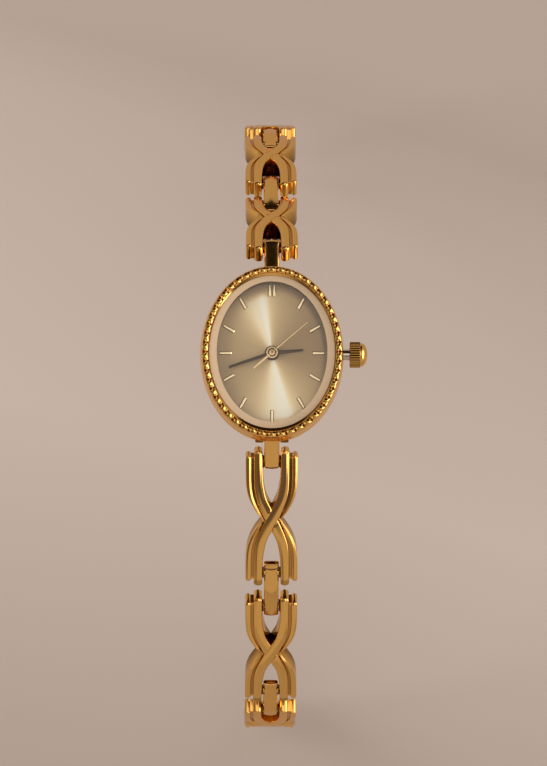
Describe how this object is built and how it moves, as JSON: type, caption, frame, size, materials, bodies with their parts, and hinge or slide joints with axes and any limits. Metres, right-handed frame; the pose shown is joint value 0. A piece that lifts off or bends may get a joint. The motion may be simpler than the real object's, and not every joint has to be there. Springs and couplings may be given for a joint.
{
  "type": "wristwatch",
  "caption": "Oval dress wristwatch with a faceted bezel, applied markers and centre hands, on a hinged bracelet of crossed ribbed links that ends in a fold-over clasp.",
  "frame": {"origin": "centre of the case back's outer face", "axes": "+Z out of the dial, +Y towards 12 o'clock, +X towards 3 o'clock and the crown"},
  "size_m": [0.0235, 0.0894, 0.0695],
  "materials": {
    "gold_plate": "polished yellow gold plating on brass",
    "gold_trim": "polished gold-plated brass, applied markers and hands",
    "flange_metal": "satin pale gold ring",
    "dial_lacquer": "champagne sunburst, brushed under clear lacquer",
    "mineral_glass": "polished mineral glass",
    "steel_back": "brushed stainless steel",
    "movement_steel": "turned steel",
    "movement_brass": "stamped brass",
    "cell_steel": "nickel-plated steel can",
    "coil_copper": "enamelled copper wire on a steel core",
    "circuit": "solder-masked circuit board",
    "holder_plastic": "moulded plastic",
    "gasket": "moulded nitrile rubber"
  },
  "bodies": {
    "case": {"case_band": "gold_plate", "case_back": "steel_back", "case_back_gasket": "gasket", "bezel": "gold_plate", "dial_flange": "flange_metal", "crystal": "mineral_glass", "crystal_gasket": "gasket", "dial": "dial_lacquer", "hour_markers": "gold_trim", "movement_holder": "holder_plastic", "main_plate": "movement_brass", "train_bridge": "movement_brass", "bridge_screws": "movement_steel", "button_cell": "cell_steel", "cell_clamp": "movement_steel", "circuit_board": "circuit", "coil": "coil_copper", "stator": "movement_steel", "crown_tube": "gold_plate", "lower_spring_bar": "gold_plate", "upper_spring_bar": "gold_plate"},
    "seconds": {"second_hand": "gold_trim", "second_wheel": "movement_brass"},
    "minutes": {"minute_hand": "gold_trim", "centre_wheel": "movement_brass"},
    "hours": {"hour_hand": "gold_trim", "hour_wheel": "movement_brass"},
    "third": {"third_wheel": "movement_brass"},
    "drive": {"drive_wheel": "movement_brass"},
    "rotor": {"rotor": "movement_steel"},
    "minute_work": {"minute_wheel": "movement_brass"},
    "crown_slider": {"crown_gasket": "gasket"},
    "crown": {"crown": "gold_plate", "winding_stem": "movement_steel"},
    "lower_end": {"lower_end_connector": "gold_plate"},
    "lower_cross_1": {"lower_cross_link_1": "gold_plate", "lower_link_pins_1": "gold_plate"},
    "lower_middle_1": {"lower_connector_1": "gold_plate"},
    "lower_cross_2": {"lower_cross_link_2": "gold_plate", "lower_link_pins_2": "gold_plate"},
    "lower_middle_2": {"lower_connector_2": "gold_plate"},
    "lower_cross_3": {"lower_cross_link_3": "gold_plate", "lower_link_pins_3": "gold_plate"},
    "clasp": {"clasp_plate": "gold_plate"},
    "upper_end": {"upper_end_connector": "gold_plate"},
    "upper_cross_1": {"upper_cross_link_1": "gold_plate", "upper_link_pins_1": "gold_plate"},
    "upper_middle_1": {"upper_connector_1": "gold_plate"},
    "upper_cross_2": {"upper_cross_link_2": "gold_plate", "upper_link_pins_2": "gold_plate"},
    "upper_middle_2": {"upper_connector_2": "gold_plate"},
    "upper_cross_3": {"upper_cross_link_3": "gold_plate", "upper_link_pins_3": "gold_plate"},
    "catch": {"catch_yoke": "gold_plate", "catch_bar": "gold_plate"},
    "clasp_cover": {"clasp_cover": "gold_plate", "clasp_pin": "gold_plate"}
  },
  "joints": [
    {"name": "lower_end_hinge", "type": "hinge", "parent": "case", "child": "lower_end", "pos_m": [0, -0.01175, 0.0023], "axis": [1, 0, 0], "range_deg": [-48, 5]},
    {"name": "lower_cross_1_hinge", "type": "hinge", "parent": "lower_end", "child": "lower_cross_1", "pos_m": [0, -0.0147, -0.00017], "axis": [1, 0, 0], "range_deg": [-2, 62]},
    {"name": "lower_middle_1_hinge", "type": "hinge", "parent": "lower_cross_1", "child": "lower_middle_1", "pos_m": [0, -0.02936, -0.00797], "axis": [1, 0, 0], "range_deg": [-31.5, 8.5]},
    {"name": "lower_cross_2_hinge", "type": "hinge", "parent": "lower_middle_1", "child": "lower_cross_2", "pos_m": [0, -0.03345, -0.01276], "axis": [1, 0, 0], "range_deg": [-11.5, 28.5]},
    {"name": "lower_middle_2_hinge", "type": "hinge", "parent": "lower_cross_2", "child": "lower_middle_2", "pos_m": [0, -0.04389, -0.02566], "axis": [1, 0, 0], "range_deg": [-29.5, 10.5]},
    {"name": "lower_cross_3_hinge", "type": "hinge", "parent": "lower_middle_2", "child": "lower_cross_3", "pos_m": [0, -0.046, -0.0316], "axis": [1, 0, 0], "range_deg": [-31.5, 8.5]},
    {"name": "clasp_hinge", "type": "hinge", "parent": "lower_cross_3", "child": "clasp", "pos_m": [0, -0.04542, -0.04819], "axis": [1, 0, 0], "range_deg": [-22, 13]},
    {"name": "upper_end_hinge", "type": "hinge", "parent": "case", "child": "upper_end", "pos_m": [0, 0.01175, 0.0023], "axis": [1, 0, 0], "range_deg": [-33, 20]},
    {"name": "upper_cross_1_hinge", "type": "hinge", "parent": "upper_end", "child": "upper_cross_1", "pos_m": [0, 0.01552, 0.0015], "axis": [1, 0, 0], "range_deg": [-3, 61]},
    {"name": "upper_middle_1_hinge", "type": "hinge", "parent": "upper_cross_1", "child": "upper_middle_1", "pos_m": [0, 0.02407, -0.01273], "axis": [1, 0, 0], "range_deg": [-38, 2]},
    {"name": "upper_cross_2_hinge", "type": "hinge", "parent": "upper_middle_1", "child": "upper_cross_2", "pos_m": [0, 0.02803, -0.01762], "axis": [1, 0, 0], "range_deg": [-21.3, 18.7]},
    {"name": "upper_middle_2_hinge", "type": "hinge", "parent": "upper_cross_2", "child": "upper_middle_2", "pos_m": [0, 0.0364, -0.03196], "axis": [1, 0, 0], "range_deg": [-24.1, 15.9]},
    {"name": "upper_cross_3_hinge", "type": "hinge", "parent": "upper_middle_2", "child": "upper_cross_3", "pos_m": [0, 0.03901, -0.03769], "axis": [1, 0, 0], "range_deg": [-11.6, 28.4]},
    {"name": "catch_hinge", "type": "hinge", "parent": "upper_cross_3", "child": "catch", "pos_m": [0, 0.04074, -0.0542], "axis": [1, 0, 0], "range_deg": [-12, 23]},
    {"name": "clasp_cover_hinge", "type": "hinge", "parent": "clasp", "child": "clasp_cover", "pos_m": [0, -0.04503, -0.0518], "axis": [-1, 0, 0], "range_deg": [0, 90]},
    {"name": "second_hand_turn", "type": "hinge", "parent": "case", "child": "seconds", "pos_m": [0, 0, 0.003], "axis": [0, 0, -1], "continuous": true},
    {"name": "minute_hand_turn", "type": "hinge", "parent": "case", "child": "minutes", "pos_m": [0, 0, 0.003], "axis": [0, 0, -1], "continuous": true},
    {"name": "hour_hand_turn", "type": "hinge", "parent": "case", "child": "hours", "pos_m": [0, 0, 0.003], "axis": [0, 0, -1], "continuous": true},
    {"name": "third_wheel_turn", "type": "hinge", "parent": "case", "child": "third", "pos_m": [-0.00109, 0.00301, 0.003], "axis": [0, 0, -1], "continuous": true},
    {"name": "drive_wheel_turn", "type": "hinge", "parent": "case", "child": "drive", "pos_m": [0.0031, -0.00113, 0.003], "axis": [0, 0, -1], "continuous": true},
    {"name": "rotor_turn", "type": "hinge", "parent": "case", "child": "rotor", "pos_m": [0.00435, -0.00329, 0.003], "axis": [0, 0, -1], "continuous": true},
    {"name": "minute_wheel_turn", "type": "hinge", "parent": "case", "child": "minute_work", "pos_m": [-0.00207, -0.00075, 0.003], "axis": [0, 0, -1], "continuous": true},
    {"name": "crown_pull", "type": "slide", "parent": "case", "child": "crown_slider", "axis": [1, 0, 0], "range_m": [0, 0.0008]},
    {"name": "crown_turn", "type": "hinge", "parent": "crown_slider", "child": "crown", "pos_m": [0.0109, 0, 0.0029], "axis": [1, 0, 0], "continuous": true}
  ],
  "couplings": [
    {"joint": "minute_hand_turn", "follows": "second_hand_turn", "ratio": 0.016667},
    {"joint": "hour_hand_turn", "follows": "second_hand_turn", "ratio": 0.0013889},
    {"joint": "third_wheel_turn", "follows": "second_hand_turn", "ratio": -0.13333},
    {"joint": "drive_wheel_turn", "follows": "second_hand_turn", "ratio": -5},
    {"joint": "rotor_turn", "follows": "second_hand_turn", "ratio": 30},
    {"joint": "minute_wheel_turn", "follows": "second_hand_turn", "ratio": -0.0055556}
  ]
}
